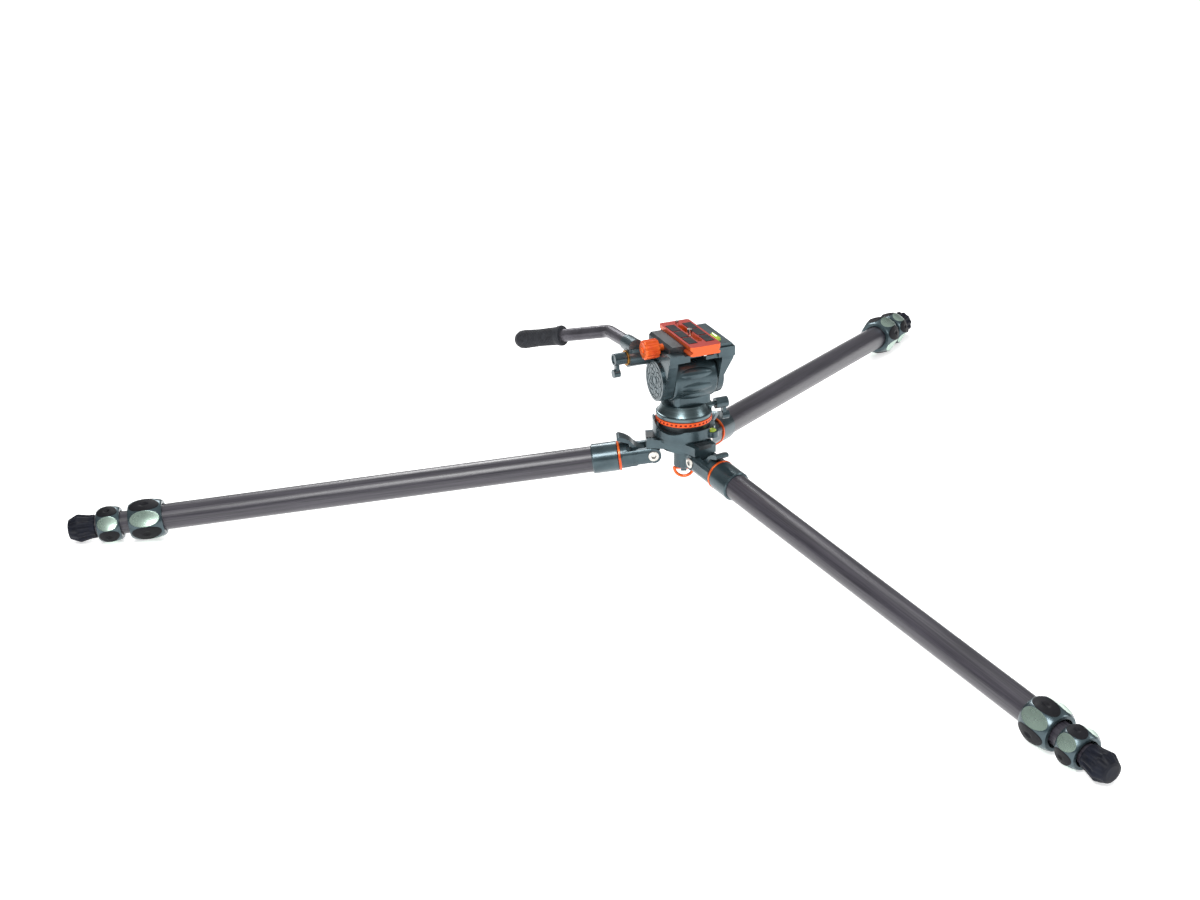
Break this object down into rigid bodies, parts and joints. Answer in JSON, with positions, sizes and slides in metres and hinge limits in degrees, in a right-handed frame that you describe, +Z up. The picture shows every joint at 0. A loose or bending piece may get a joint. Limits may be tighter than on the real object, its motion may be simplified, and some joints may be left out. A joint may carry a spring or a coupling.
{
  "type": "video tripod",
  "caption": "Low-splayed telescopic tripod with twist-lock legs, a levelling ball, and a fluid pan and tilt head with a quick-release plate and a cranked pan handle.",
  "frame": {"origin": "bottom centre of the bounding box, on the floor", "axes": "+Z up; +X along the widest spread of the feet; -Y towards the front leg"},
  "size_m": [1.3234, 1.1492, 0.2573],
  "materials": {
    "casting": "satin anodised",
    "carbon": "satin woven carbon",
    "orange": "anodised",
    "silver": "turned",
    "steel": "polished",
    "rubber": "matt",
    "black": "matt",
    "bar": "satin",
    "vial": "clear",
    "bronze": "turned"
  },
  "bodies": {
    "apex": {"apex": "casting", "hinge_bolts": "steel", "stop_racks": "black", "apex_bubble": "vial"},
    "leg_front": {"leg_casting_front": "casting", "leg_ring_front": "orange", "upper_tube_front": "carbon"},
    "stop_front": {"stop_lever_front": "casting"},
    "upper_twist_front": {"upper_lock_front": "casting", "upper_lock_pads_front": "rubber"},
    "middle_front": {"middle_tube_front": "carbon"},
    "lower_twist_front": {"lower_lock_front": "casting", "lower_lock_pads_front": "rubber"},
    "lower_front": {"lower_tube_front": "carbon", "foot_front": "rubber"},
    "leg_right": {"leg_casting_right": "casting", "leg_ring_right": "orange", "upper_tube_right": "carbon"},
    "stop_right": {"stop_lever_right": "casting"},
    "upper_twist_right": {"upper_lock_right": "casting", "upper_lock_pads_right": "rubber"},
    "middle_right": {"middle_tube_right": "carbon"},
    "lower_twist_right": {"lower_lock_right": "casting", "lower_lock_pads_right": "rubber"},
    "lower_right": {"lower_tube_right": "carbon", "foot_right": "rubber"},
    "leg_left": {"leg_casting_left": "casting", "leg_ring_left": "orange", "upper_tube_left": "carbon"},
    "stop_left": {"stop_lever_left": "casting"},
    "upper_twist_left": {"upper_lock_left": "casting", "upper_lock_pads_left": "rubber"},
    "middle_left": {"middle_tube_left": "carbon"},
    "lower_twist_left": {"lower_lock_left": "casting", "lower_lock_pads_left": "rubber"},
    "lower_left": {"lower_tube_left": "carbon", "foot_left": "rubber"},
    "liner": {"level_liner": "black"},
    "ball": {"level_ball": "black", "level_ring": "orange"},
    "level_lock": {"level_knob": "casting"},
    "hook": {"hook_ring": "orange"},
    "pan": {"pan_base": "silver", "tilt_housing": "casting"},
    "pan_lock": {"pan_lock_lever": "casting"},
    "tilt_lock": {"tilt_lock_lever": "casting"},
    "cradle": {"cradle": "casting", "side_covers": "casting", "head_bubble": "vial"},
    "jaw": {"clamp_jaw": "black"},
    "jaw_knob": {"clamp_knob": "orange"},
    "plate": {"release_plate": "orange", "plate_pads": "rubber", "video_pin": "steel"},
    "screw": {"camera_screw": "steel"},
    "handle": {"handle_knuckle": "casting", "pan_bar": "bar", "grip": "rubber"},
    "handle_lock": {"handle_lever": "casting", "handle_washer": "bronze"}
  },
  "joints": [
    {"name": "leg_fold_front", "type": "hinge", "parent": "apex", "child": "leg_front", "pos_m": [0, 0.14749, 0.10028], "axis": [1, 0, 0], "range_deg": [0, 80]},
    {"name": "stop_lift_front", "type": "hinge", "parent": "leg_front", "child": "stop_front", "pos_m": [0, 0.12583, 0.10483], "axis": [-1, 0, 0], "range_deg": [0, 25]},
    {"name": "upper_lock_turn_front", "type": "hinge", "parent": "leg_front", "child": "upper_twist_front", "pos_m": [0, -0.47441, 0.02877], "axis": [0, -0.9935, -0.1142], "range_deg": [0, 100]},
    {"name": "middle_slide_front", "type": "slide", "parent": "leg_front", "child": "middle_front", "axis": [0, -0.9935, -0.1142], "range_m": [0, 0.45]},
    {"name": "lower_lock_turn_front", "type": "hinge", "parent": "middle_front", "child": "lower_twist_front", "pos_m": [0, -0.52209, 0.02329], "axis": [0, -0.9935, -0.1142], "range_deg": [0, 100]},
    {"name": "lower_slide_front", "type": "slide", "parent": "middle_front", "child": "lower_front", "axis": [0, -0.9935, -0.1142], "range_m": [0, 0.45]},
    {"name": "leg_fold_right", "type": "hinge", "parent": "apex", "child": "leg_right", "pos_m": [0.03291, 0.20449, 0.10028], "axis": [-0.5, 0.866, 0], "range_deg": [0, 80]},
    {"name": "stop_lift_right", "type": "hinge", "parent": "leg_right", "child": "stop_right", "pos_m": [0.05167, 0.21532, 0.10483], "axis": [0.5, -0.866, 0], "range_deg": [0, 25]},
    {"name": "upper_lock_turn_right", "type": "hinge", "parent": "leg_right", "child": "upper_twist_right", "pos_m": [0.57149, 0.51545, 0.02877], "axis": [0.8604, 0.4967, -0.1142], "range_deg": [0, 100]},
    {"name": "middle_slide_right", "type": "slide", "parent": "leg_right", "child": "middle_right", "axis": [0.8604, 0.4967, -0.1142], "range_m": [0, 0.45]},
    {"name": "lower_lock_turn_right", "type": "hinge", "parent": "middle_right", "child": "lower_twist_right", "pos_m": [0.61279, 0.53929, 0.02329], "axis": [0.8604, 0.4967, -0.1142], "range_deg": [0, 100]},
    {"name": "lower_slide_right", "type": "slide", "parent": "middle_right", "child": "lower_right", "axis": [0.8604, 0.4967, -0.1142], "range_m": [0, 0.45]},
    {"name": "leg_fold_left", "type": "hinge", "parent": "apex", "child": "leg_left", "pos_m": [-0.03291, 0.20449, 0.10028], "axis": [-0.5, -0.866, 0], "range_deg": [0, 80]},
    {"name": "stop_lift_left", "type": "hinge", "parent": "leg_left", "child": "stop_left", "pos_m": [-0.05167, 0.21532, 0.10483], "axis": [0.5, 0.866, 0], "range_deg": [0, 25]},
    {"name": "upper_lock_turn_left", "type": "hinge", "parent": "leg_left", "child": "upper_twist_left", "pos_m": [-0.57149, 0.51545, 0.02877], "axis": [-0.8604, 0.4967, -0.1142], "range_deg": [0, 100]},
    {"name": "middle_slide_left", "type": "slide", "parent": "leg_left", "child": "middle_left", "axis": [-0.8604, 0.4967, -0.1142], "range_m": [0, 0.45]},
    {"name": "lower_lock_turn_left", "type": "hinge", "parent": "middle_left", "child": "lower_twist_left", "pos_m": [-0.61279, 0.53929, 0.02329], "axis": [-0.8604, 0.4967, -0.1142], "range_deg": [0, 100]},
    {"name": "lower_slide_left", "type": "slide", "parent": "middle_left", "child": "lower_left", "axis": [-0.8604, 0.4967, -0.1142], "range_m": [0, 0.45]},
    {"name": "level_roll", "type": "hinge", "parent": "apex", "child": "liner", "pos_m": [0, 0.18549, 0.14228], "axis": [0.7071, -0.7071, 0], "range_deg": [-8, 8]},
    {"name": "level_pitch", "type": "hinge", "parent": "liner", "child": "ball", "pos_m": [0, 0.18549, 0.14228], "axis": [0.7071, 0.7071, 0], "range_deg": [-8, 8]},
    {"name": "level_knob_turn", "type": "hinge", "parent": "ball", "child": "level_lock", "pos_m": [0, 0.18549, 0.08538], "axis": [0, 0, 1], "range_deg": [0, 360]},
    {"name": "hook_swing", "type": "hinge", "parent": "level_lock", "child": "hook", "pos_m": [0, 0.18549, 0.07677], "axis": [0.829, -0.5592, 0], "range_deg": [-60, 60]},
    {"name": "pan_turn", "type": "hinge", "parent": "ball", "child": "pan", "pos_m": [0, 0.18549, 0.14868], "axis": [0, 0, 1], "continuous": true},
    {"name": "pan_lock_turn", "type": "hinge", "parent": "pan", "child": "pan_lock", "pos_m": [0.04163, 0.1786, 0.15488], "axis": [0.9866, -0.1633, 0], "range_deg": [-35, 35]},
    {"name": "tilt_lock_turn", "type": "hinge", "parent": "pan", "child": "tilt_lock", "pos_m": [0.02085, 0.20738, 0.17627], "axis": [0.1633, 0.9866, 0], "range_deg": [-40, 40]},
    {"name": "tilt_turn", "type": "hinge", "parent": "pan", "child": "cradle", "pos_m": [0, 0.18549, 0.19828], "axis": [0.9866, -0.1633, 0], "range_deg": [-55, 80]},
    {"name": "jaw_slide", "type": "slide", "parent": "cradle", "child": "jaw", "axis": [-0.9866, 0.1633, 0], "range_m": [0, 0.006]},
    {"name": "clamp_knob_turn", "type": "hinge", "parent": "jaw", "child": "jaw_knob", "pos_m": [-0.04529, 0.18742, 0.24188], "axis": [0.9866, -0.1633, 0], "range_deg": [0, 1440]},
    {"name": "plate_slide", "type": "slide", "parent": "cradle", "child": "plate", "axis": [-0.1633, -0.9866, 0], "range_m": [-0.02, 0.02]},
    {"name": "camera_screw_turn", "type": "hinge", "parent": "plate", "child": "screw", "pos_m": [0.00789, 0.18419, 0.25178], "axis": [0, 0, 1], "continuous": true},
    {"name": "handle_angle", "type": "hinge", "parent": "cradle", "child": "handle", "pos_m": [-0.03603, 0.21274, 0.22478], "axis": [-0.9866, 0.1633, 0], "range_deg": [-12, 55]},
    {"name": "handle_lock_turn", "type": "hinge", "parent": "cradle", "child": "handle_lock", "pos_m": [-0.06563, 0.21765, 0.22478], "axis": [0.9866, -0.1633, 0], "range_deg": [-35, 35]}
  ],
  "couplings": [
    {"joint": "clamp_knob_turn", "follows": "jaw_slide", "rad_per_m": 4188.8}
  ]
}
